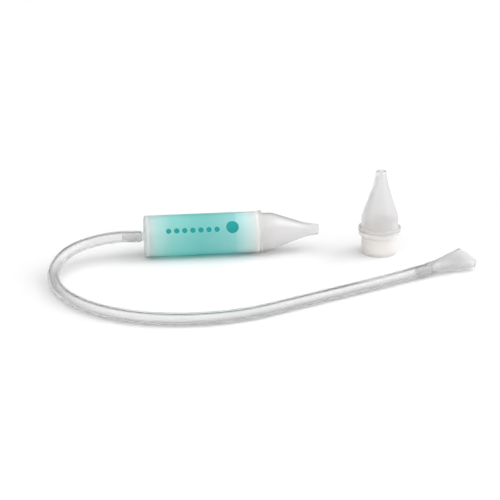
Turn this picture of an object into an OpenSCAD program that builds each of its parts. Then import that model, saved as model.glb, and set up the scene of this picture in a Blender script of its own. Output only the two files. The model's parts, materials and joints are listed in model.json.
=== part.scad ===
// Nasal aspirator set: chamber, fitted nozzle, suction hose, mouthpiece and a spare nozzle.
// The chamber lies along X with the nozzle towards +X, and the spare nozzle stands upright.
// Everything rests on z = 0, and the origin is under the middle of the whole set.

/* [Chamber] */
// Outside diameter of the chamber tube
chamber_d = 23; // [22:0.5:25]
// Wall of the chamber tube
chamber_wall = 1.6; // [1.4:0.1:1.8]
// Length of the chamber tube
chamber_len = 59.6; // [50:0.2:70]

/* [Rear cap] */
// Thickness of the cap's visible rim
rim_len = 2.2; // [1.5:0.1:3]
// How far the rim's edge stands in from the chamber's side
rim_inset = 0.1; // [0.1:0.1:0.5]
// Length of the cap's plug inside the chamber
cap_plug_len = 5; // [3:0.5:8]
// Length of the bare neck between the rim and the hose
neck_len = 1.7; // [1:0.1:3]
// Diameter of that neck
neck_d = 5; // [4.6:0.1:5.6]
// Length of the spigot inside the hose
spigot_len = 10.6; // [8:0.2:11]
// Diameter of the air passage through the cap
air_d = 2.6; // [2:0.1:3]

/* [Nozzle unit] */
// Length of the plug, from its open end to the flange
plug_len = 11.2; // [10:0.1:14]
// Diameter of the soft tip's half of the flange
flange_d = 23.8; // [23.6:0.1:25]
// Diameter of the base's half of the flange
base_flange_d = 23.2; // [22.8:0.1:23.6]
// Thickness of the base's half of the flange
flange_len = 2; // [0.8:0.1:2.4]
// Thickness of the soft tip's half of the flange
lip_len = 2; // [0.5:0.1:2.4]
// Height of the collar that holds the soft tip
collar_len = 5.8; // [4:0.1:6]
// Diameter of the tip's skirt, above the flange
skirt_d = 20.8; // [20.4:0.1:21.2]
// Height of the straight skirt
skirt_len = 4.1; // [3:0.1:6]
// Radius of the shoulder between skirt and cone
shoulder_r = 12; // [8:1:14]
// Slope of the cone, in degrees from the axis
cone_angle = 19; // [18:0.5:20]
// Radius of the hollow curve that leads the cone into the tip
flare_r = 43; // [38:1:48]
// Slope that is left at the tip's end, in degrees
tip_angle = 4.5; // [3:0.5:6]
// Height of the whole unit, from the plug's open end to the tip
unit_len = 47.7; // [46:0.1:49]
// Wall of the soft tip
tip_wall = 1; // [0.8:0.1:1.2]
// Diameter of the hole in the tip
tip_hole_d = 3.4; // [2.6:0.1:3.6]
// Length of the straight hole at the tip
tip_hole_len = 3; // [2:0.5:4]

/* [Filter] */
// Diameter of the foam filter
filter_d = 16.8; // [16:0.1:16.8]
// Length of the foam filter
filter_len = 10.8; // [6:0.2:11.4]
// Thickness of the filter's seat at the plug's open end
seat_len = 1.2; // [0.8:0.1:2]
// Width of the seat's ring and of its two crossed bars
seat_w = 1.8; // [1:0.1:2.4]

/* [Hose] */
// Outside diameter of the hose
hose_d = 6.4; // [6:0.1:6.8]
// Bore of the hose
hose_bore_d = 4.2; // [4.2:0.1:4.4]
// Length of straight hose over the spigot
hose_start_len = 12.4; // [11:0.1:13]
// Radius of the first bend, behind the chamber
bend_1_r = 36.6; // [34:0.2:42]
// Turn of the first bend, in degrees
bend_1_turn = 94.4; // [88:0.2:100]
// Radius of the second bend
bend_2_r = 69; // [60:1:80]
// Turn of the second bend, in degrees
bend_2_turn = 73.9; // [68:0.1:80]
// Radius of the third bend, along the front
bend_3_r = 83.6; // [75:0.2:95]
// Turn of the third bend, in degrees
bend_3_turn = 37.3; // [32:0.1:42]
// Length of the straight run to the mouthpiece
run_len = 102.5; // [90:0.5:115]
// Length over which the hose comes down to the table, after the straight start
drop_len = 82; // [60:1:100]
// Gap between two rigid stretches of hose, which lets them hinge
hinge_gap = 1.8; // [1.6:0.1:2.2]

/* [Mouthpiece] */
// Diameter of the mouthpiece's round neck
mouth_neck_d = 7; // [6.8:0.1:7.6]
// Length of the round neck
mouth_neck_len = 5; // [4:0.5:8]
// Length of the flat fan
fan_len = 23; // [18:0.5:24]
// Width of the fan at its mouth
fan_w = 17.4; // [16:0.2:24]
// Thickness of the fan at its mouth
fan_t = 4.8; // [3.6:0.1:5]
// Wall of the fan
fan_wall = 1; // [0.8:0.1:1.2]
// Length of the stem inside the hose
stem_len = 8; // [6:0.5:10]
// How far the fan is rolled about the hose, in degrees
mouth_roll = 15; // [0:1:20]
// How far the last stretch of hose and the mouthpiece rise, in degrees
mouth_pitch = 1.5; // [1:0.1:3]

/* [Layout] */
// X of the rear cap's outer face
chamber_x = -62.4; // [-70:0.1:-55]
// Y of the chamber's axis
chamber_y = 47.4; // [40:0.1:60]
// X of the spare nozzle's axis
spare_x = 69.1; // [60:0.1:80]
// Y of the spare nozzle's axis
spare_y = 37.8; // [30:0.1:50]

/* [Hidden] */
$fn = 64;
fit = 0.05;            // radial clearance of every sliding fit
over = 1;              // how far a cutting shape runs past what it cuts
chamfer = 0.4;         // small edge break on rims and plug ends
arc_steps = 8;         // straight pieces in each curved stretch of the tip's outline
thin = 0.01;           // thickness of the end slices that the fan is stretched between
chamber_bore_d = chamber_d - 2 * chamber_wall;
plug_d = chamber_bore_d - 2 * fit;
plug_bore_d = filter_d + 2 * fit;
collar_d = skirt_d - 2 * tip_wall - 2 * fit;
axis_z = flange_d / 2;
flange_x = chamber_x + rim_len + chamber_len;
tip_seat_z = plug_len + flange_len + fit;
skirt_z = tip_seat_z + lip_len;
relief_len = 1.6;      // height of the groove under the flange
relief_depth = 0.45;   // depth of that groove
ring_wall = 1.5;       // wall of the rear cap's plug
spigot_d = hose_bore_d - 2 * fit;
hose_rest_z = hose_d / 2;

// ---- Course of the hose -------------------------------------------------------------------
// One entry per rigid stretch: its length, and the turn to the left that it makes.
function bend_len(r, turn) = r * turn * PI / 180;
link_len = [hose_start_len,
            bend_len(bend_1_r, bend_1_turn) / 2, bend_len(bend_1_r, bend_1_turn) / 2,
            bend_len(bend_2_r, bend_2_turn) / 2, bend_len(bend_2_r, bend_2_turn) / 2,
            bend_len(bend_3_r, bend_3_turn) / 2, bend_len(bend_3_r, bend_3_turn) / 2,
            run_len / 3, run_len / 3, run_len / 3];
link_turn = [0, bend_1_turn / 2, bend_1_turn / 2, bend_2_turn / 2, bend_2_turn / 2,
             bend_3_turn / 2, bend_3_turn / 2, 0, 0, 0];
link_count = len(link_len);

// Heading at the start of stretch k, and the distance along the hose to it
function heading(k) = k == 0 ? 180 : heading(k - 1) + link_turn[k - 1];
function distance(k) = k == 0 ? 0 : distance(k - 1) + link_len[k - 1];
// Straight-line length of a part of a stretch that is len long and turns by turn
function chord(len, turn) = turn == 0 ? len : 2 * (len * 180 / (turn * PI)) * sin(turn / 2);
function step(length, angle) = [length * cos(angle), length * sin(angle)];
// Plan position of the start of stretch k
function start_of(k) = k == 0
    ? [chamber_x - neck_len - fit, chamber_y]
    : start_of(k - 1) + step(chord(link_len[k - 1], link_turn[k - 1]), heading(k - 1) + link_turn[k - 1] / 2);
// Plan position of the middle of stretch k
function middle_of(k) =
    start_of(k) + step(chord(link_len[k] / 2, link_turn[k] / 2), heading(k) + link_turn[k] / 4);
// Height of the hose's centre, which comes down smoothly to the table and rises again at the end
rise_start = distance(link_count - 1);
function eased(t) = t <= 0 ? 0 : t >= 1 ? 1 : t * t * (3 - 2 * t);
function drop_at(s) = (axis_z - hose_rest_z) * eased((s - hose_start_len) / drop_len);
function rise_at(s) = max(0, s - rise_start) * tan(mouth_pitch);
function height_at(s) = axis_z - drop_at(s) + rise_at(s);
function slope_at(s) = atan((height_at(s + over) - height_at(s - over)) / (2 * over));
hose_end = start_of(link_count);
hose_end_heading = heading(link_count);

// ---- Outline of the soft tip ---------------------------------------------------------------
shoulder_z = skirt_z + skirt_len;
cone_z = shoulder_z + shoulder_r * sin(cone_angle);
flare_len = flare_r * (sin(cone_angle) - sin(tip_angle));
tip_lip = 0.6;         // height of the rounded lip at the very tip
flare_z = unit_len - tip_lip - flare_len;
cone_r = skirt_d / 2 - shoulder_r * (1 - cos(cone_angle));
flare_start_r = cone_r - (flare_z - cone_z) * tan(cone_angle);
tip_r = flare_start_r - flare_r * (cos(tip_angle) - cos(cone_angle));

// Points of the tip's side, pulled in by the depth inset
function shoulder_points(inset) = [for (i = [0:arc_steps])
    let (a = cone_angle * i / arc_steps)
    [skirt_d / 2 - inset - shoulder_r * (1 - cos(a)), shoulder_z + shoulder_r * sin(a)]];
function flare_points(inset) = [for (i = [0:arc_steps])
    let (a = cone_angle + (tip_angle - cone_angle) * i / arc_steps)
    [flare_start_r - inset - flare_r * (cos(a) - cos(cone_angle)),
     flare_z + flare_r * (sin(cone_angle) - sin(a))]];
// The same points in the opposite order, and only those whose height is below top
function backwards(points) = [for (i = [len(points) - 1:-1:0]) points[i]];
function below(points, top) = [for (p = points) if (p[1] < top) p];

// ---- Placing -------------------------------------------------------------------------------
// Puts a shape drawn along +Z on the chamber's axis, its foot at x
module along_chamber(x) {
    translate([x, chamber_y, axis_z])
        rotate([0, 90, 0])
            children();
}

// The nozzle unit's place in the chamber, and the spare's place on the table
module fitted() {
    along_chamber(flange_x - plug_len)
        children();
}

module standing() {
    translate([spare_x, spare_y, 0])
        children();
}

// ---- Chamber and rear cap ------------------------------------------------------------------
module chamber_tube() {
    outer_r = chamber_d / 2;
    inner_r = chamber_bore_d / 2;
    edge = chamfer / 2;
    color("MediumTurquoise", 0.7)
        along_chamber(chamber_x + rim_len)
            rotate_extrude()
                polygon([[inner_r, 0], [outer_r - edge, 0], [outer_r, edge],
                         [outer_r, chamber_len - edge], [outer_r - edge, chamber_len],
                         [inner_r, chamber_len]]);
}

// Half outline of the cap: spigot, neck, rim and hollow plug, from left to right
module cap_outline() {
    rim_r = chamber_d / 2 - rim_inset;
    plug_r = plug_d / 2;
    taper = 2.5;
    end = -neck_len - spigot_len;
    polygon([[air_d / 2, end], [spigot_d / 2 - chamfer, end], [spigot_d / 2, end + taper],
             [spigot_d / 2, -neck_len], [neck_d / 2, -neck_len], [neck_d / 2, 0],
             [rim_r - 2 * chamfer, 0], [rim_r, 2 * chamfer], [rim_r, rim_len],
             [plug_r, rim_len], [plug_r, rim_len + cap_plug_len - chamfer],
             [plug_r - chamfer, rim_len + cap_plug_len], [plug_r - ring_wall, rim_len + cap_plug_len],
             [plug_r - ring_wall, rim_len], [air_d / 2, rim_len]]);
}

module rear_cap() {
    color("WhiteSmoke")
        along_chamber(chamber_x)
            rotate_extrude()
                cap_outline();
}

// ---- Nozzle unit ---------------------------------------------------------------------------
// Plug, groove, flange and collar, turned as one ring
module base_ring() {
    plug_r = plug_d / 2;
    bore_r = plug_bore_d / 2;
    groove_z = plug_len - relief_len;
    flange_top = plug_len + flange_len;
    rotate_extrude()
        polygon([[bore_r - seat_w, 0], [plug_r - chamfer, 0], [plug_r, chamfer],
                 [plug_r, groove_z], [plug_r - relief_depth, groove_z + relief_depth],
                 [plug_r - relief_depth, plug_len], [base_flange_d / 2, plug_len],
                 [base_flange_d / 2, flange_top], [collar_d / 2, flange_top],
                 [collar_d / 2, flange_top + collar_len - chamfer],
                 [collar_d / 2 - chamfer, flange_top + collar_len], [bore_r, flange_top + collar_len],
                 [bore_r, seat_len], [bore_r - seat_w, seat_len]]);
}

// Two crossed bars that keep the foam out of the chamber
module seat_cross() {
    bar = plug_bore_d - seat_w;
    for (turn = [0, 90])
        rotate([0, 0, turn])
            translate([-bar / 2, -seat_w / 2, 0])
                cube([bar, seat_w, seat_len]);
}

module base_shape() {
    union() {
        base_ring();
        seat_cross();
    }
}

module filter_shape() {
    foot = seat_len + fit;
    rotate_extrude()
        polygon([[0, foot], [filter_d / 2 - chamfer, foot], [filter_d / 2, foot + chamfer],
                 [filter_d / 2, foot + filter_len - chamfer],
                 [filter_d / 2 - chamfer, foot + filter_len], [0, foot + filter_len]]);
}

module tip_shape() {
    hole_r = tip_hole_d / 2;
    hole_z = unit_len - tip_hole_len;
    skirt_bore_r = skirt_d / 2 - tip_wall;
    outside = concat([[flange_d / 2, tip_seat_z], [flange_d / 2, skirt_z], [skirt_d / 2, skirt_z]],
                     shoulder_points(0), flare_points(0),
                     [[tip_r - tip_lip / 3, unit_len - tip_lip / 3], [tip_r - tip_lip, unit_len]]);
    inside = concat([[skirt_bore_r, tip_seat_z]], shoulder_points(tip_wall),
                    below(flare_points(tip_wall), hole_z - 1));
    rotate_extrude()
        polygon(concat(outside, [[hole_r, unit_len], [hole_r, hole_z]], backwards(inside)));
}

module nozzle_base() {
    color("White", 0.8)
        fitted()
            base_shape();
}

module nozzle_filter() {
    color("AntiqueWhite")
        fitted()
            filter_shape();
}

module nozzle_tip() {
    color("Gainsboro", 0.7)
        fitted()
            tip_shape();
}

module spare_base() {
    color("White", 0.8)
        standing()
            base_shape();
}

module spare_filter() {
    color("AntiqueWhite")
        standing()
            filter_shape();
}

module spare_tip() {
    color("Gainsboro", 0.7)
        standing()
            tip_shape();
}

// ---- Hose ----------------------------------------------------------------------------------
module hose_section() {
    difference() {
        circle(d = hose_d);
        circle(d = hose_bore_d);
    }
}

// A stretch of hose, its middle at the origin and heading along +X, bent to the left
module hose_stretch(length, turn) {
    if (turn == 0) {
        rotate([0, 90, 0])
            translate([0, 0, -length / 2])
                linear_extrude(length)
                    hose_section();
    } else {
        r = length * 180 / (turn * PI);
        translate([0, r, 0])
            rotate([0, 0, -90 - turn / 2])
                rotate_extrude(angle = turn)
                    translate([r, 0])
                        hose_section();
    }
}

// Stretch k in its place, shortened at both ends by half the hinge gap
module hose_link(k) {
    whole = link_len[k];
    rear_cut = k == 0 ? 0 : hinge_gap / 2;
    front_cut = k == link_count - 1 ? 0 : hinge_gap / 2;
    length = whole - rear_cut - front_cut;
    shift = (rear_cut - front_cut) / 2;
    s = distance(k) + whole / 2;
    plan = middle_of(k);
    color("GhostWhite", 0.6)
        translate([plan[0], plan[1], height_at(s)])
            rotate([0, 0, heading(k) + link_turn[k] / 2])
                rotate([0, -slope_at(s), 0])
                    translate([shift, 0, 0])
                        hose_stretch(length, link_turn[k] * length / whole);
}

module hose_link_1() { hose_link(0); }
module hose_link_2() { hose_link(1); }
module hose_link_3() { hose_link(2); }
module hose_link_4() { hose_link(3); }
module hose_link_5() { hose_link(4); }
module hose_link_6() { hose_link(5); }
module hose_link_7() { hose_link(6); }
module hose_link_8() { hose_link(7); }
module hose_link_9() { hose_link(8); }
module hose_link_10() { hose_link(9); }

// ---- Mouthpiece ----------------------------------------------------------------------------
// A round end stretched into a flat one along +X, both made smaller all round by inset
module fan_shape(inset, start, end) {
    flat_r = fan_t / 2 - inset;
    half_w = fan_w / 2 - inset;
    hull() {
        translate([start, 0, 0])
            rotate([0, 90, 0])
                cylinder(r = mouth_neck_d / 2 - inset, h = thin, $fn = 32);
        for (side = [-1, 1])
            translate([end, side * (half_w - flat_r), 0])
                rotate([0, 90, 0])
                    cylinder(r = flat_r, h = thin, $fn = 32);
    }
}

module mouthpiece_shape() {
    fan_end = mouth_neck_len + fan_len;
    difference() {
        union() {
            translate([-stem_len, 0, 0])
                rotate([0, 90, 0])
                    cylinder(d = spigot_d, h = stem_len + over);
            rotate([0, 90, 0])
                cylinder(d = mouth_neck_d, h = mouth_neck_len);
            fan_shape(0, mouth_neck_len - thin, fan_end);
        }
        translate([-stem_len - over, 0, 0])
            rotate([0, 90, 0])
                cylinder(d = air_d, h = stem_len + mouth_neck_len + 2 * over);
        fan_shape(fan_wall, mouth_neck_len, fan_end + thin);
    }
}

module mouthpiece() {
    color("Lavender", 0.7)
        translate([hose_end[0], hose_end[1], height_at(distance(link_count))])
            rotate([0, 0, hose_end_heading])
                rotate([0, -mouth_pitch, 0])
                    rotate([mouth_roll, 0, 0])
                        translate([fit, 0, 0])
                            mouthpiece_shape();
}

chamber_tube();
rear_cap();
nozzle_base();
nozzle_filter();
nozzle_tip();
hose_link_1();
hose_link_2();
hose_link_3();
hose_link_4();
hose_link_5();
hose_link_6();
hose_link_7();
hose_link_8();
hose_link_9();
hose_link_10();
mouthpiece();
spare_base();
spare_filter();
spare_tip();
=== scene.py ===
"""Looks of a nasal aspirator set: frosted chamber, soft nozzles, clear hose and clear mouthpiece."""

import json
import math

import bmesh
import bpy
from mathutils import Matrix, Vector, noise


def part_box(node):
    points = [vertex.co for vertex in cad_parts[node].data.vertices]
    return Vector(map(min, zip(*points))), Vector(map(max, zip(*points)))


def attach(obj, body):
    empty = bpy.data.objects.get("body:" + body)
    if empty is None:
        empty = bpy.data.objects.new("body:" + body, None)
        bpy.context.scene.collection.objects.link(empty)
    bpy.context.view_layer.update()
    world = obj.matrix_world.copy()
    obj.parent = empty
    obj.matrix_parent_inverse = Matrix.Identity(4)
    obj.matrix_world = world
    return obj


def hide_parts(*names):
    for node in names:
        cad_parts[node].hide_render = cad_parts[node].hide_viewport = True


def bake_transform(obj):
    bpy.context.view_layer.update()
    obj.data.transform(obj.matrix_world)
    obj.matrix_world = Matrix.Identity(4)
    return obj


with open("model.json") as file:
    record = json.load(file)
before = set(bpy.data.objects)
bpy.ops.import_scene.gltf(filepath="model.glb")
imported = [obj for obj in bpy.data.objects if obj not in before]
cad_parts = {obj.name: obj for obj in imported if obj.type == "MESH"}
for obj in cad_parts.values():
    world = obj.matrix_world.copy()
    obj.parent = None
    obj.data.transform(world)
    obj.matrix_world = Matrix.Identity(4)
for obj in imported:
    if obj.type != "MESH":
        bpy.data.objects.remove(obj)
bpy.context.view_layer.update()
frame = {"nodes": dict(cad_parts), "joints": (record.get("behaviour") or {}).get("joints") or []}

MM = 0.001
UP = Vector((0, 0, 1))
X_AXIS = Vector((1, 0, 0))
TURN = 2 * math.pi

# ---- Sizes that only the looks need --------------------------------------------------------
HOSE_STEP = 1.2 * MM          # spacing of the hose's rings
HOSE_SIDES = 144              # points round the hose
HOSE_LIP = 0.4 * MM           # rounding at the hose's two cut ends
FOAM_CELL = 0.9 * MM          # size of the foam's pores
FOAM_DEPTH = 0.22 * MM        # depth of those pores
FOAM_PORE = 0.6               # a pore's radius as a share of FOAM_CELL
FOAM_SIDES = 120              # points round a foam filter
FOAM_STEP = 0.45 * MM         # spacing of its rings
FOAM_EDGE = 0.5 * MM          # rounding of its edges
EDGE_BREAK = 0.15 * MM        # rounding on moulded edges
CORNER_ANGLE = 12             # an outline's turn above this many degrees is a corner
CORNER_STEPS = 4              # steps in a rounded corner
TURN_SIDES = 144              # points round a turned piece
FAN_SIDES = 96                # points round the mouthpiece
FAN_ANGLES = [TURN * i / FAN_SIDES for i in range(FAN_SIDES)]
FAN_STEPS = 30                # sections along the mouthpiece's fan
FAN_FLAT = 3                  # how sharply a section's straight part gives way to its round sides
FAN_NECK = 5.0 * MM           # length of the round neck
FAN_WALL = 1.0 * MM           # wall of the fan
FAN_LIP = 0.6 * MM            # how far behind the mouth its rounded lip begins
FAN_CORNER = 1.8 * MM         # rounding of the fan's corners, seen from above
FAN_BOW = 0.7 * MM            # how far the mouth's edge bows out
PRINT_RISE = math.radians(30)  # how far up the chamber's side the print sits
PRINT_SIDES = 48              # points round a printed disc
DOTS = 7                      # number of small printed dots
DOT_START = 0.18              # share of the chamber's length before the first dot's middle
DOT_PITCH = 0.075             # share of the chamber's length from dot to dot
DOT_R = 1.45 * MM
DISC_PLACE = 0.775            # share of the chamber's length before the large disc's middle
DISC_LIFT = 1.0 * MM          # how far the large disc's middle lies above the row of dots
DISC_R = 3.5 * MM
INK_LOW = 0.01 * MM           # foot of the printed ink above the chamber's side
INK_HIGH = 0.05 * MM          # top of the printed ink above the chamber's side
FLOOR_GAP = 0.15 * MM         # how far the floor lies under the pieces, so that no surface lies in another
FLOOR_REACH = 6               # half the floor's width, in metres
STRAIGHT_ANGLE = 0.3          # an outline's turn below this many degrees counts as straight
CUT_ANGLE = math.radians(34.3)  # where a turned piece's outline is cut, away from the mesh's own lines


# ---- Small helpers -------------------------------------------------------------------------
def eased(t):
    t = min(max(t, 0.0), 1.0)
    return t * t * (3 - 2 * t)


def mixed(a, b, t):
    return a + (b - a) * t


def heading_vector(angle):
    return Vector((math.cos(angle), math.sin(angle), 0))


def mesh_object(name, vertices, faces, material):
    mesh = bpy.data.meshes.new(name)
    mesh.from_pydata([tuple(v) for v in vertices], [], faces)
    mesh.validate()
    mesh.update()
    mesh.materials.append(material)
    made = bpy.data.objects.new(name, mesh)
    bpy.context.scene.collection.objects.link(made)
    for polygon in mesh.polygons:
        polygon.use_smooth = True
    return made


# ---- Materials -----------------------------------------------------------------------------
class Recipe:
    """One material's node tree, built a node at a time."""

    def __init__(self, name):
        self.material = bpy.data.materials.new(name)
        self.material.use_nodes = True
        self.tree = self.material.node_tree
        self.tree.nodes.clear()
        self.place = self.add("ShaderNodeTexCoord").outputs["Object"]

    def add(self, kind, settings=None, **inputs):
        made = self.tree.nodes.new(kind)
        for key, value in (settings or {}).items():
            setattr(made, key, value)
        for key, value in inputs.items():
            self.set(made, key.replace("_", " "), value)
        return made

    def set(self, node, key, value):
        socket = node.inputs[int(key)] if key.isdigit() else node.inputs[key]
        if isinstance(value, bpy.types.NodeSocket):
            self.tree.links.new(value, socket)
        else:
            socket.default_value = value

    def noise(self, size, detail=3.0):
        """Noise between 0 and 1 whose lumps are about size across."""
        made = self.add("ShaderNodeTexNoise", Scale=1 / size, Detail=detail, Vector=self.place)
        return made.outputs["Fac"]

    def spread(self, value, low, high, start=0.0, end=1.0):
        """value from start..end stretched to low..high."""
        made = self.add("ShaderNodeMapRange")
        for key, number in (("From Min", start), ("From Max", end), ("To Min", low), ("To Max", high)):
            self.set(made, key, number)
        self.set(made, "Value", value)
        return made.outputs["Result"]

    def blend(self, share, first, second):
        made = self.add("ShaderNodeMix", {"data_type": "RGBA"})
        self.set(made, "0", share)
        self.set(made, "6", first)
        self.set(made, "7", second)
        return made.outputs[2]

    def bump(self, height, depth, strength=1.0):
        made = self.add("ShaderNodeBump", Strength=strength, Distance=depth, Height=height)
        return made.outputs["Normal"]

    def ramp(self, value, stops):
        made = self.add("ShaderNodeValToRGB")
        made.color_ramp.interpolation = "EASE"
        points = made.color_ramp.elements
        while len(points) < len(stops):
            points.new(0.5)
        for point, (at, colour) in zip(points, stops):
            point.position = at
            point.color = (*colour, 1)
        self.set(made, "Fac", value)
        return made.outputs["Color"]

    def finish(self, shader):
        end = self.add("ShaderNodeOutputMaterial")
        self.tree.links.new(shader.outputs[0], end.inputs["Surface"])
        return self.material


def colour(red, green, blue):
    return (red, green, blue, 1)


def with_glow(r, principled, tint, share):
    """Mixes in light that soaks through the wall, as it does in milky plastic."""
    soak = r.add("ShaderNodeBsdfTranslucent", Color=tint)
    mix = r.add("ShaderNodeMixShader", Fac=share)
    r.tree.links.new(principled.outputs[0], mix.inputs[1])
    r.tree.links.new(soak.outputs[0], mix.inputs[2])
    return mix


def chamber_material():
    """Teal, deepest in the middle, and paler where the nozzle's plug and the cap stand behind the wall.
    That paleness is painted light: light coming in through the end cap, and the milky plug's light showing
    through the wall. It is painted on the tube, so it stays when the nozzle is pulled out.
    """
    r = Recipe("frosted_teal")
    low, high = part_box("chamber_tube")
    apart = r.add("ShaderNodeSeparateXYZ", Vector=r.place)
    along = r.spread(apart.outputs["X"], 0, 1, low.x, high.x)
    plug = (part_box("nozzle_base")[0].x - low.x) / (high.x - low.x)
    # Painted light: the wall is painted paler near the cap, for light coming in through the end cap.
    painted_cap_light = (0.0, (0.92, 0.97, 0.965)), (0.1, (0.73, 0.94, 0.925)), (0.23, (0.53, 0.90, 0.87))
    middle = (0.48, (0.42, 0.84, 0.82)), (plug - 0.01, (0.57, 0.90, 0.89))
    # Painted light: the wall is painted paler over the nozzle's plug, for the milky plug's light showing
    # through it.
    painted_plug_light = (plug + 0.01, (0.71, 0.95, 0.945)), (0.93, (0.86, 0.98, 0.98)), (1.0, (0.98, 0.99, 0.99))
    tint = r.ramp(along, painted_cap_light + middle + painted_plug_light)
    cloud = r.noise(9 * MM)
    tinted = r.blend(r.spread(cloud, 0.0, 0.08, 0.3, 0.7), tint, colour(0.85, 0.95, 0.94))
    grain = r.noise(0.35 * MM, detail=2)
    shader = r.add("ShaderNodeBsdfPrincipled")
    r.set(shader, "Base Color", tinted)
    r.set(shader, "Roughness", r.spread(grain, 0.34, 0.44))
    r.set(shader, "IOR", 1.49)
    r.set(shader, "Transmission Weight", 0.5)
    r.set(shader, "Normal", r.bump(grain, 0.02 * MM, 0.2))
    return r.finish(with_glow(r, shader, tinted, 0.5))


def clear_material(name, tint, low, high, glow, transmission=1.0, ior=1.46, coat=0.0):
    """Clear or hazy plastic. low and high are the limits of its roughness, and glow is its milky share."""
    r = Recipe(name)
    haze = r.noise(6 * MM)
    ripple = r.noise(9 * MM, detail=0)
    tinted = r.blend(r.spread(haze, 0, 1, 0.3, 0.7), colour(*tint), colour(1, 1, 1))
    shader = r.add("ShaderNodeBsdfPrincipled")
    r.set(shader, "Base Color", tinted)
    r.set(shader, "Roughness", r.spread(haze, low, high, 0.3, 0.7))
    r.set(shader, "IOR", ior)
    r.set(shader, "Transmission Weight", transmission)
    r.set(shader, "Coat Weight", coat)
    r.set(shader, "Coat Roughness", 0.06)
    r.set(shader, "Normal", r.bump(ripple, 0.02 * MM, 0.08))
    return r.finish(with_glow(r, shader, tinted, glow))


def cap_material():
    tint = (0.99, 0.98, 0.98)
    return clear_material("cap_plastic", tint, 0.25, 0.35, glow=0.45, transmission=0.3)


def base_material():
    tint = (0.975, 0.96, 0.95)
    return clear_material("milky_plastic", tint, 0.32, 0.42, glow=0.4, transmission=0.35, ior=1.49)


def tip_material():
    tint = (0.99, 0.98, 0.985)
    return clear_material("soft_tip", tint, 0.1, 0.15, glow=0.25, transmission=0.88, ior=1.3, coat=0.9)


def foam_material():
    r = Recipe("filter_foam")
    cells = r.add("ShaderNodeTexVoronoi", Scale=1 / FOAM_CELL, Vector=r.place)
    fine = r.noise(0.25 * MM, detail=4)
    # Painted shade: each pore's middle is painted darker, for the shade that falls in the pit.
    depth = r.spread(cells.outputs["Distance"], 1, 0, 0.0, 0.7)
    shade = r.blend(depth, colour(0.97, 0.94, 0.90), colour(0.86, 0.80, 0.73))
    shader = r.add("ShaderNodeBsdfPrincipled")
    r.set(shader, "Base Color", r.blend(r.spread(fine, 0, 0.25), shade, colour(1.0, 0.98, 0.95)))
    r.set(shader, "Roughness", 0.9)
    r.set(shader, "Normal", r.bump(fine, 0.12 * MM, 0.6))
    return r.finish(shader)


def ink_material():
    r = Recipe("print_ink")
    mottle = r.noise(0.5 * MM)
    shader = r.add("ShaderNodeBsdfPrincipled")
    r.set(shader, "Base Color", r.blend(mottle, colour(0.0, 0.25, 0.25), colour(0.0, 0.29, 0.285)))
    r.set(shader, "Roughness", r.spread(mottle, 0.5, 0.6))
    r.set(shader, "Specular IOR Level", 0.3)
    return r.finish(shader)


def floor_material():
    r = Recipe("floor_white")
    mottle = r.noise(30 * MM)
    shader = r.add("ShaderNodeBsdfPrincipled")
    r.set(shader, "Base Color", r.blend(mottle, colour(0.82, 0.82, 0.82), colour(0.83, 0.83, 0.83)))
    r.set(shader, "Roughness", 0.7)
    r.set(shader, "Specular IOR Level", 0.2)
    return r.finish(shader)


def seam_material():
    r = Recipe("hose_seam")
    return r.finish(r.add("ShaderNodeBsdfTransparent"))


# ---- Turned pieces -------------------------------------------------------------------------
def outline_of(node, foot, along):
    """The half outline of a turned CAD node as (radius, height) points, cut clear of any cross bars."""
    side = along.orthogonal().normalized()
    cut = side * math.cos(CUT_ANGLE) + along.cross(side) * math.sin(CUT_ANGLE)
    cross = along.cross(cut)
    shape = bmesh.new()
    shape.from_mesh(frame["nodes"][node].data)
    bmesh.ops.remove_doubles(shape, verts=shape.verts, dist=0.001 * MM)
    everything = shape.verts[:] + shape.edges[:] + shape.faces[:]
    sliced = bmesh.ops.bisect_plane(shape, geom=everything, plane_co=foot, plane_no=cross, dist=1e-7)
    links = {}
    for edge in (g for g in sliced["geom_cut"] if isinstance(g, bmesh.types.BMEdge)):
        ends = [((v.co - foot).dot(cut), (v.co - foot).dot(along)) for v in edge.verts]
        if min(r for r, z in ends) > -1e-6:
            first, second = [(round(r, 7), round(z, 7)) for r, z in ends]
            links.setdefault(first, []).append(second)
            links.setdefault(second, []).append(first)
    shape.free()
    here = max(links)
    points, last = [here], None
    while True:
        after = [p for p in links[here] if p != last]
        last, here = here, after[0]
        if here == points[0]:
            break
        points.append(here)
    return without_straights(points)


def without_straights(points):
    """The same closed outline without the points that lie on a straight run."""
    kept = []
    count = len(points)
    for i, p in enumerate(points):
        before, after = Vector(points[i - 1]), Vector(points[(i + 1) % count])
        p = Vector(p)
        if (p - before).length > 1e-6 and (after - p).length > 1e-6:
            if (p - before).angle(after - p) > math.radians(STRAIGHT_ANGLE):
                kept.append(p)
    return kept


def rounded(points, radius):
    """The outline with every real corner rounded, as far as its sides allow."""
    made = []
    count = len(points)
    for i, p in enumerate(points):
        to_last, to_next = points[i - 1] - p, points[(i + 1) % count] - p
        turn = math.pi - to_last.angle(to_next)
        if turn < math.radians(CORNER_ANGLE):
            made.append(p)
            continue
        reach = min(radius * math.tan(turn / 2), to_last.length * 0.45, to_next.length * 0.45)
        start, end = p + to_last.normalized() * reach, p + to_next.normalized() * reach
        for k in range(CORNER_STEPS + 1):
            t = k / CORNER_STEPS
            made.append(start.lerp(p, t).lerp(p.lerp(end, t), t))
    return made


def turned(name, outline, foot, along, material):
    """A solid turned about the line from foot in direction along. A point is (radius, height)."""
    side = along.orthogonal().normalized()
    rise = along.cross(side)
    vertices = []
    for p in outline:
        for i in range(TURN_SIDES):
            a = TURN * i / TURN_SIDES
            vertices.append(foot + along * p.y + (side * math.cos(a) + rise * math.sin(a)) * p.x)
    return mesh_object(name, vertices, band_faces(len(outline), TURN_SIDES), material)


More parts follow.
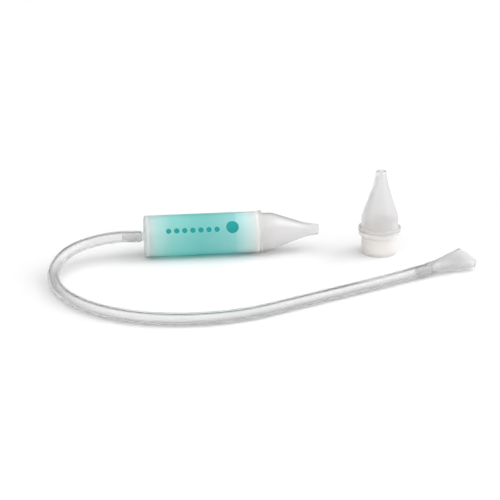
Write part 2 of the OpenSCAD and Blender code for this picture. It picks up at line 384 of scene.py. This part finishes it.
def band_faces(rows, sides):
    """Faces of a closed tube of rows, each a ring of sides points, whose last row joins its first."""
    faces = []
    for row in range(rows):
        here, there = row * sides, (row + 1) % rows * sides
        for i in range(sides):
            j = (i + 1) % sides
            faces.append((here + i, here + j, there + j, there + i))
    return faces


def face_outward(piece):
    """Turns all of a closed piece's faces outward, and shades it by its larger faces."""
    shape = bmesh.new()
    shape.from_mesh(piece.data)
    bmesh.ops.recalc_face_normals(shape, faces=shape.faces)
    shape.to_mesh(piece.data)
    shape.free()
    shade = piece.modifiers.new("shading", "WEIGHTED_NORMAL")
    shade.weight = 80
    return piece


def build_turned(node, body, foot, along, material):
    outline = rounded(outline_of(node, foot, along), EDGE_BREAK)
    piece = face_outward(turned(node + "_shell", outline, foot, along, material))
    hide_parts(node)
    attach(piece, body)
    return piece


def build_cross(node, body, foot, along, material):
    """The two crossed bars inside a nozzle's base, as one plus-shaped prism."""
    outline = outline_of(node, foot, along)
    inner = min(p.x for p in outline)
    thick = max(p.y for p in outline if p.x < inner + 0.01 * MM)
    bore = min(p.x for p in outline if p.y > thick + 0.01 * MM)
    half = (bore - inner) / 2
    reach = inner + 0.3 * MM
    side = along.orthogonal().normalized()
    rise = along.cross(side)
    plan = []
    for k in range(4):
        a, b = (side, rise) if k % 2 == 0 else (rise, -side)
        a, b = (a, b) if k < 2 else (-a, -b)
        plan += [a * reach - b * half, a * reach + b * half, a * half + b * half]
    lifted = [EDGE_BREAK, thick - EDGE_BREAK]
    vertices = [foot + p + along * z for z in lifted for p in plan]
    count = len(plan)
    faces = [tuple(range(count))[::-1], tuple(range(count, 2 * count))]
    faces += [(i, (i + 1) % count, count + (i + 1) % count, count + i) for i in range(count)]
    piece = face_outward(mesh_object(node + "_bars", vertices, faces, material))
    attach(piece, body)


# ---- Course of the hose --------------------------------------------------------------------
def hose_knots():
    """The hose's start, its hinges and its end, in order."""
    first_low, first_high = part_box("hose_link_1")
    centre = (first_low + first_high) / 2
    points = [Vector((first_high.x, centre.y, centre.z))]
    points += [Vector(j["pos_m"]) for j in frame["joints"] if j["type"] == "hinge"]
    last = frame["nodes"][f"hose_link_{len(points)}"]
    way = (points[-1] - points[-2]).normalized()
    reach = max(v.co.dot(way) for v in last.data.vertices)
    rim = [v.co for v in last.data.vertices if v.co.dot(way) > reach - 0.3 * MM]
    points.append(sum(rim, Vector()) / len(rim))
    return points


def knot_headings(points):
    """Each stretch is an arc, so its chord's angle lies midway between the headings at its ends."""
    headings = [math.pi]
    for here, there in zip(points, points[1:]):
        chord = math.atan2(there.y - here.y, there.x - here.x)
        turn = 2 * ((chord - headings[-1] + math.pi) % TURN - math.pi)
        headings.append(headings[-1] + turn)
    return headings


def stretch_length(here, there, turn):
    flat = Vector((there.x - here.x, there.y - here.y)).length
    return flat if abs(turn) < 1e-4 else flat * (turn / 2) / math.sin(turn / 2)


def knot_slopes(points, lengths):
    slopes = [0.0]
    for k in range(1, len(points) - 1):
        slopes.append((points[k + 1].z - points[k - 1].z) / (lengths[k] + lengths[k - 1]))
    slopes.append((points[-1].z - points[-2].z) / lengths[-1])
    return slopes


def arc_place(here, heading, length, turn):
    """Plan position after length along an arc that starts at here and turns by turn."""
    chord = length if abs(turn) < 1e-9 else length * math.sin(turn / 2) / (turn / 2)
    return here + heading_vector(heading + turn / 2) * chord


def height_on(t, length, z0, z1, slope0, slope1):
    """Height and slope on the smooth curve between two knots."""
    a = 2 * t**3 - 3 * t**2 + 1
    b = t**3 - 2 * t**2 + t
    c = -2 * t**3 + 3 * t**2
    d = t**3 - t**2
    z = a * z0 + b * length * slope0 + c * z1 + d * length * slope1
    rise = (6 * t**2 - 6 * t) * (z0 - z1) / length
    slope = rise + (3 * t**2 - 4 * t + 1) * slope0 + (3 * t**2 - 2 * t) * slope1
    return z, slope


def hose_stretches():
    """For each stretch, a list of (place, direction) along it, with an even number of steps."""
    points = hose_knots()
    headings = knot_headings(points)
    turns = [b - a for a, b in zip(headings, headings[1:])]
    lengths = [stretch_length(a, b, t) for a, b, t in zip(points, points[1:], turns)]
    slopes = knot_slopes(points, lengths)
    stretches = []
    for k, (length, turn) in enumerate(zip(lengths, turns)):
        steps = 2 * max(2, round(length / HOSE_STEP / 2))
        stations = []
        for i in range(steps + 1):
            t = i / steps
            place = arc_place(points[k], headings[k], t * length, t * turn)
            z, slope = height_on(t, length, points[k].z, points[k + 1].z, slopes[k], slopes[k + 1])
            place.z = z
            way = heading_vector(headings[k] + t * turn)
            way.z = slope
            stations.append((place, way.normalized()))
        stretches.append(stations)
    return stretches


def ring(place, way, radius):
    side = UP.cross(way).normalized()
    rise = way.cross(side)
    angles = [TURN * i / HOSE_SIDES for i in range(HOSE_SIDES)]
    return [place + (side * math.cos(a) + rise * math.sin(a)) * radius for a in angles]


def lip_rows(place, inward, outer):
    """Rows of a rounded edge, from the cut face to the hose's side."""
    rows = []
    for share in (0, 1 / 3, 2 / 3, 1):
        angle = share * math.pi / 2
        inset = HOSE_LIP * (1 - math.cos(angle))
        rows.append((place + inward * inset, outer - HOSE_LIP * (1 - math.sin(angle))))
    return rows


def tube_rows(stations, outer, bore, cut_start, cut_end):
    """Rows of the wall as (place, way, radius): out along the outside, then back through the bore."""
    first, first_way = stations[0]
    last, last_way = stations[-1]
    rows = [(p, w, outer) for p, w in stations]
    if cut_start:
        rows[0:1] = [(p, first_way, r) for p, r in lip_rows(first, first_way, outer)]
    if cut_end:
        rows[-1:] = [(p, last_way, r) for p, r in reversed(lip_rows(last, -last_way, outer))]
    outside = len(rows)
    rows += [(p, w, bore) for p, w in reversed(stations)]
    return rows, outside


def hose_piece(name, stations, outer, bore, cut_start, cut_end, wall, seam):
    """A closed stretch of hose. A cut end has a rounded lip, and any other end is a flat, unseen seam."""
    rows, outside = tube_rows(stations, outer, bore, cut_start, cut_end)
    vertices = [point for place, way, radius in rows for point in ring(place, way, radius)]
    made = mesh_object(name, vertices, band_faces(len(rows), HOSE_SIDES), wall)
    made.data.materials.append(seam)
    seam_rows = [row for row, cut in ((outside - 1, cut_end), (len(rows) - 1, cut_start)) if not cut]
    even_out(made.data, rows, outside, seam_rows)
    return made


def even_out(mesh, rows, outside, seam_rows):
    """Marks the seams, and gives their edges the whole hose's normals, so that neighbours shade as one."""
    for polygon in mesh.polygons:
        if polygon.index // HOSE_SIDES in seam_rows:
            polygon.material_index = 1
    normals = [Vector(n.vector) for n in mesh.corner_normals]
    seam_rings = {r for row in seam_rows for r in (row, (row + 1) % len(rows))}
    for polygon in mesh.polygons:
        flat = polygon.material_index == 1
        for corner, vertex in zip(polygon.loop_indices, polygon.vertices):
            row = vertex // HOSE_SIDES
            if flat:
                normals[corner] = polygon.normal.copy()
            elif row in seam_rings:
                away = (mesh.vertices[vertex].co - rows[row][0]).normalized()
                normals[corner] = away if row < outside else -away
    mesh.normals_split_custom_set(normals)


def hose_radii():
    """Outer and bore radius, taken from the hose's straight first stretch."""
    low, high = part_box("hose_link_1")
    centre = (low + high) / 2
    near = [Vector((v.co.y - centre.y, v.co.z - centre.z)).length
            for v in frame["nodes"]["hose_link_1"].data.vertices]
    return (high.z - low.z) / 2, min(near)


def build_hose():
    """Nine pieces, each from one stretch's middle to the next one's, so that each holds one hinge."""
    wall = clear_material("hose_clear", (0.99, 0.99, 0.99), 0.16, 0.22, glow=0.1, ior=1.4)
    seam = seam_material()
    outer, bore = hose_radii()
    stretches = hose_stretches()
    hinges = [j for j in frame["joints"] if j["type"] == "hinge"]
    for k, hinge in enumerate(hinges):
        rear, front = stretches[k], stretches[k + 1]
        first, last = k == 0, k == len(hinges) - 1
        start = 0 if first else len(rear) // 2
        stop = len(front) if last else len(front) // 2 + 1
        stations = rear[start:-1] + front[:stop]
        piece = hose_piece(f"hose_{k + 1}", stations, outer, bore, first, last, wall, seam)
        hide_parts(f"hose_link_{k + 1}", f"hose_link_{k + 2}")
        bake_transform(piece)


# ---- Mouthpiece ----------------------------------------------------------------------------
def mouth_rim(along):
    """The CAD mouthpiece's points at its mouth, and their middle."""
    points = [v.co for v in frame["nodes"]["mouthpiece"].data.vertices]
    reach = max(p.dot(along) for p in points)
    rim = [p for p in points if p.dot(along) > reach - 0.3 * MM]
    return rim, sum(rim, Vector()) / len(rim), reach


def mouth_frame():
    """Place of the hose's end, the mouthpiece's directions along, across and through, and its length."""
    slide = next(j for j in frame["joints"] if j["child"] == "mouthpiece")
    along = Vector(slide["axis"])
    rim, centre, reach = mouth_rim(along)
    far = max(rim, key=lambda p: (p - centre).dot(UP.cross(along)))
    near = min(rim, key=lambda p: (p - centre).dot(UP.cross(along)))
    across = (far - near).normalized()
    through = along.cross(across).normalized()
    across = through.cross(along).normalized()
    start = hose_knots()[-1]
    return start, along, across, through, reach - start.dot(along)


def mouth_size(along, across, through):
    """Half the mouth's width and half its thickness."""
    rim, centre, reach = mouth_rim(along)
    half_width = max((p - centre).dot(across) for p in rim)
    half_thick = max((p - centre).dot(through) for p in rim)
    return half_width, half_thick


class Fan:
    """The mouthpiece's shape: a round neck that widens in straight lines to a flat mouth."""

    def __init__(self):
        self.start, self.along, self.across, self.through, self.length = mouth_frame()
        self.half_width, self.half_thick = mouth_size(self.along, self.across, self.through)
        places = [v.co - self.start for v in frame["nodes"]["mouthpiece"].data.vertices]
        spots = [(p.dot(self.along), (p - self.along * p.dot(self.along)).length) for p in places]
        self.stem_len = -min(x for x, r in spots)
        self.stem_r = max(r for x, r in spots if x < -MM)
        self.air_r = min(r for x, r in spots if x < -MM)
        self.neck_r = max(r for x, r in spots if 0 < x < MM)

    def circle(self, x, radius):
        return [self.start + self.along * x + self.across * radius * math.cos(a)
                + self.through * radius * math.sin(a) for a in FAN_ANGLES]

    def section(self, x, inset=0.0):
        """One section at x, pulled in by inset: straight above and below, and round at its sides."""
        t = min(max((x - FAN_NECK) / (self.length - FAN_NECK), 0), 1)
        end_r = mixed(self.neck_r, self.half_thick, t) - inset
        straight = mixed(0, self.half_width - self.half_thick, t)
        points = []
        for a in FAN_ANGLES:
            shift = min(max(FAN_FLAT * math.cos(a), -1), 1)
            y = straight * shift + end_r * math.cos(a)
            back = self.pull_back(x, abs(y) / self.half_width, inset)
            points.append(self.start + self.along * (x - back) + self.across * y
                          + self.through * end_r * math.sin(a))
        return points

    def pull_back(self, x, share, inset):
        """How far the mouth's bowed edge and its rounded corners lie behind x."""
        corner = FAN_CORNER / self.half_width
        over = min(max(0, share - 1 + corner + inset / self.half_width) / corner, 1)
        back = FAN_BOW * share**2 + FAN_CORNER * (1 - math.sqrt(1 - over**2))
        return back * eased(2 * x / self.length - 1)

    def outside_of_neck(self):
        """(place, radius) of the rings from the stem's end to the neck, in the order of the surface."""
        return [(-self.stem_len, self.air_r + 0.25 * MM),
                (0.1 * MM - self.stem_len, self.stem_r - 0.1 * MM),
                (0.6 * MM - self.stem_len, self.stem_r),
                (-0.05 * MM, self.stem_r),
                (0.05 * MM, self.stem_r + 0.1 * MM),
                (0.05 * MM, self.neck_r - 0.5 * MM),
                (0.2 * MM, self.neck_r - 0.1 * MM),
                (0.6 * MM, self.neck_r)]

    def inside_of_neck(self):
        """(place, radius) of the rings of the air passage, from the fan back to the stem's end."""
        return [(0.9 * FAN_NECK, self.air_r + 0.2 * MM),
                (0.8 * FAN_NECK, self.air_r),
                (0.1 * MM - self.stem_len, self.air_r)]

    def rows(self):
        """Rings of points from the stem's end, over the outside to the mouth, and back inside."""
        places = [mixed(FAN_NECK, self.length - FAN_LIP, i / FAN_STEPS) for i in range(FAN_STEPS + 1)]
        lip = ((0.3, 0.0), (0.08, 0.14), (0.0, 0.4), (0.08, 0.75), (0.3, 0.95))
        made = [self.circle(x, radius) for x, radius in self.outside_of_neck()]
        made += [self.section(x) for x in places]
        made += [self.section(self.length - behind * MM, inset * MM) for behind, inset in lip]
        made += [self.section(x, FAN_WALL) for x in reversed(places[1:])]
        made += [self.circle(x, radius) for x, radius in self.inside_of_neck()]
        return made


def build_mouthpiece():
    plastic = clear_material("mouthpiece_clear", (0.99, 0.99, 0.99), 0.12, 0.18, glow=0.25, ior=1.4)
    rows = Fan().rows()
    vertices = [point for row in rows for point in row]
    made = mesh_object("mouthpiece_fan", vertices, band_faces(len(rows), len(FAN_ANGLES)), plastic)
    face_outward(made)
    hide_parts("mouthpiece")
    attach(made, "mouthpiece")


# ---- Foam filters --------------------------------------------------------------------------
def foam_depth(point):
    """How far a pore sinks the foam's skin at a point."""
    distance = noise.voronoi(point / FOAM_CELL)[0][0]
    return FOAM_DEPTH * (1 - min(1.0, distance / FOAM_PORE))


def foam_outline(half_len, radius):
    """(place, radius) of a foam filter's rings, from one flat end, over the rounded side, to the other."""
    flat = radius - FOAM_EDGE
    straight = half_len - FOAM_EDGE
    end_steps = round(flat / FOAM_STEP)
    side_steps = round(2 * straight / FOAM_STEP)
    end = [(half_len, flat * i / end_steps) for i in range(1, end_steps + 1)]
    for a in (math.pi / 6, math.pi / 3, math.pi / 2):
        end.append((half_len - FOAM_EDGE * (1 - math.cos(a)), radius - FOAM_EDGE * (1 - math.sin(a))))
    side = [(mixed(straight, -straight, i / side_steps), radius) for i in range(1, side_steps + 1)]
    other_end = [(-x, r) for x, r in reversed(end)]
    return end + side + other_end[1:]


def foam_faces(rings):
    """Faces between the rings, and a fan of triangles from either end's middle to its nearest ring."""
    around = [(i, (i + 1) % FOAM_SIDES) for i in range(FOAM_SIDES)]
    last = 1 + (rings - 1) * FOAM_SIDES
    end = last + FOAM_SIDES
    faces = [(0, 1 + i, 1 + j) for i, j in around]
    for here in range(1, last, FOAM_SIDES):
        there = here + FOAM_SIDES
        faces += [(here + i, there + i, there + j, here + j) for i, j in around]
    faces += [(last + j, last + i, end) for i, j in around]
    return faces


def build_foam(node, body, along, material):
    low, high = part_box(node)
    centre = (low + high) / 2
    length = abs((high - low).dot(along))
    radius = ((high - low) - along * length).length / 2 / math.sqrt(2)
    outline = foam_outline(length / 2, radius)
    side = along.orthogonal().normalized()
    rise = along.cross(side)
    vertices = [centre + along * length / 2]
    for x, r in outline:
        for i in range(FOAM_SIDES):
            a = TURN * i / FOAM_SIDES
            vertices.append(centre + along * x + (side * math.cos(a) + rise * math.sin(a)) * r)
    vertices.append(centre - along * length / 2)
    sunk = [p + (centre - p).normalized() * foam_depth(p) for p in vertices]
    made = mesh_object(node + "_foam", sunk, foam_faces(len(outline)), material)
    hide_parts(node)
    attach(made, body)


# ---- Print ---------------------------------------------------------------------------------
def print_spot(x, arc, lift):
    """A place on the chamber's side, x along it and arc round it from the print's middle line."""
    low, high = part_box("chamber_tube")
    radius = (high.z - low.z) / 2
    angle = PRINT_RISE + arc / radius
    out = Vector((0, -math.cos(angle), math.sin(angle)))
    return Vector((low.x + x, (low.y + high.y) / 2, (low.z + high.z) / 2)) + out * (radius + lift)


def print_disc(shape, x, arc, radius):
    """Adds one printed disc, a thin closed solid that follows the chamber's side."""
    rings = []
    angles = [TURN * i / PRINT_SIDES for i in range(PRINT_SIDES)]
    for lift, share in ((INK_LOW, 0.5), (INK_LOW, 1), (INK_HIGH, 1), (INK_HIGH, 0.5)):
        r = radius * share
        spots = [print_spot(x + r * math.cos(a), arc + r * math.sin(a), lift) for a in angles]
        rings.append([shape.verts.new(p) for p in spots])
    foot, top = [shape.verts.new(print_spot(x, arc, lift)) for lift in (INK_LOW, INK_HIGH)]
    for i in range(PRINT_SIDES):
        j = (i + 1) % PRINT_SIDES
        shape.faces.new((foot, rings[0][i], rings[0][j]))
        shape.faces.new((top, rings[3][j], rings[3][i]))
        for here, there in zip(rings, rings[1:]):
            shape.faces.new((here[i], there[i], there[j], here[j]))


def build_print():
    """A plain printed row of dots and a larger disc, in place of lettering."""
    low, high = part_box("chamber_tube")
    length = high.x - low.x
    shape = bmesh.new()
    for k in range(DOTS):
        print_disc(shape, length * (DOT_START + DOT_PITCH * k), 0, DOT_R)
    print_disc(shape, length * DISC_PLACE, DISC_LIFT, DISC_R)
    bmesh.ops.recalc_face_normals(shape, faces=shape.faces)
    for edge in shape.edges:
        edge.smooth = edge.calc_face_angle(0) < math.radians(CORNER_ANGLE)
    made = mesh_object("chamber_print", [], [], ink_material())
    for face in shape.faces:
        face.smooth = True
    shape.to_mesh(made.data)
    shape.free()
    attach(made, "chamber")


# ---- Stage, light and camera ---------------------------------------------------------------
# A direction's part along an axis, from where to where the light changes, and its strength at both.
ROOM_LIGHT = (("Z", (0.5, 0.85, 0.04, 0.8)),    # overhead
              ("Y", (0.25, -0.5, 0.0, 0.96)),   # in front
              ("X", (0.4, 0.9, 0.0, 0.5)))      # on the right
CAMERA_PITCH = math.radians(19.5)     # how far the camera looks down
CAMERA_TURN = math.radians(-7.43)     # how far it stands to the right of straight in front
CAMERA_DISTANCE = 0.8169              # in metres, from the point it looks at
CAMERA_TARGET = Vector((-2.6, 50.38, 0)) * MM
SENSOR_MM = 36
LENS_MM = 103.7


def build_stage():
    signs = ((-1, -1), (1, -1), (1, 1), (-1, 1))
    corners = [(x * FLOOR_REACH, y * FLOOR_REACH, -FLOOR_GAP) for x, y in signs]
    floor = mesh_object("floor", corners, [(0, 1, 2, 3)], floor_material())


def add_sun(name, azimuth, elevation, spread, strength):
    """A far, wide studio lamp. Azimuth is counted from +X towards +Y, and spread is its angle across."""
    data = bpy.data.lights.new(name, "SUN")
    data.angle = math.radians(spread)
    data.energy = strength
    light = bpy.data.objects.new(name, data)
    a, e = math.radians(azimuth), math.radians(elevation)
    towards = Vector((math.cos(a) * math.cos(e), math.sin(a) * math.cos(e), math.sin(e)))
    light.rotation_mode = "QUATERNION"
    light.rotation_quaternion = (-towards).to_track_quat("-Z", "Y")
    bpy.context.scene.collection.objects.link(light)


def build_world():
    """White to the camera. To everything else, a dim room, lighter overhead, in front and on the right."""
    world = bpy.data.worlds.new("studio")
    world.use_nodes = True
    tree = world.node_tree
    tree.nodes.clear()
    place = tree.nodes.new("ShaderNodeTexCoord")
    apart = tree.nodes.new("ShaderNodeSeparateXYZ")
    tree.links.new(place.outputs["Generated"], apart.inputs[0])
    lamps = [smooth_step(tree, apart.outputs[axis], *soft_box) for axis, soft_box in ROOM_LIGHT]
    everywhere = added(tree, added(tree, lamps[0], lamps[1]), lamps[2])
    path = tree.nodes.new("ShaderNodeLightPath")
    pick = tree.nodes.new("ShaderNodeMix")
    pick.inputs[3].default_value = 1.0
    back = tree.nodes.new("ShaderNodeBackground")
    back.inputs["Color"].default_value = colour(1, 1, 1)
    out = tree.nodes.new("ShaderNodeOutputWorld")
    tree.links.new(path.outputs["Is Camera Ray"], pick.inputs[0])
    tree.links.new(everywhere, pick.inputs[2])
    tree.links.new(pick.outputs[0], back.inputs["Strength"])
    tree.links.new(back.outputs[0], out.inputs[0])
    bpy.context.scene.world = world


def added(tree, first, second):
    made = tree.nodes.new("ShaderNodeMath")
    tree.links.new(first, made.inputs[0])
    tree.links.new(second, made.inputs[1])
    return made.outputs[0]


def smooth_step(tree, value, start, end, low, high):
    """low where value is at start, high where it is at end, and a smooth change between them."""
    made = tree.nodes.new("ShaderNodeMapRange")
    made.interpolation_type = "SMOOTHSTEP"
    for key, number in (("From Min", start), ("From Max", end), ("To Min", low), ("To Max", high)):
        made.inputs[key].default_value = number
    tree.links.new(value, made.inputs["Value"])
    return made.outputs["Result"]


def build_camera():
    level = math.cos(CAMERA_PITCH)
    back = Vector((math.sin(CAMERA_TURN) * level, -math.cos(CAMERA_TURN) * level, math.sin(CAMERA_PITCH)))
    data = bpy.data.cameras.new("camera")
    data.sensor_width = SENSOR_MM
    data.lens = LENS_MM
    data.clip_start = 0.01
    data.clip_end = 50
    camera = bpy.data.objects.new("camera", data)
    camera.location = CAMERA_TARGET + back * CAMERA_DISTANCE
    camera.rotation_mode = "QUATERNION"
    camera.rotation_quaternion = (-back).to_track_quat("-Z", "Y")
    bpy.context.scene.collection.objects.link(camera)
    bpy.context.scene.camera = camera


def set_view():
    scene = bpy.context.scene
    scene.view_settings.view_transform = "Standard"
    scene.cycles.max_bounces = 24
    scene.cycles.diffuse_bounces = 12
    scene.cycles.glossy_bounces = 12
    scene.cycles.transmission_bounces = 20
    scene.cycles.transparent_max_bounces = 48
    scene.cycles.use_denoising = True


def foot_of(node, along):
    """The middle of a turned node's lower end."""
    low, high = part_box(node)
    centre = (low + high) / 2
    return centre - along * (high - low).dot(along) / 2


def build_chamber():
    tube_foot = foot_of("chamber_tube", X_AXIS)
    build_turned("chamber_tube", "chamber", tube_foot, X_AXIS, chamber_material())
    cap_foot = foot_of("rear_cap", X_AXIS)
    build_turned("rear_cap", "rear_cap", cap_foot, X_AXIS, cap_material())


def build_nozzles():
    milky = base_material()
    soft = tip_material()
    foam = foam_material()
    for unit, along in (("nozzle", X_AXIS), ("spare", UP)):
        base = unit + "_base"
        tip = unit + "_tip"
        pad = unit + "_filter"
        build_turned(base, base, foot_of(base, along), along, milky)
        build_cross(base, base, foot_of(base, along), along, milky)
        build_turned(tip, tip, foot_of(tip, along), along, soft)
        build_foam(pad, pad, along, foam)


build_chamber()
build_nozzles()
build_hose()
build_mouthpiece()
build_print()
build_stage()
add_sun("overhead", azimuth=90, elevation=75, spread=60, strength=0.4)
add_sun("key", azimuth=5, elevation=34, spread=50, strength=1.3)
build_world()
build_camera()
set_view()
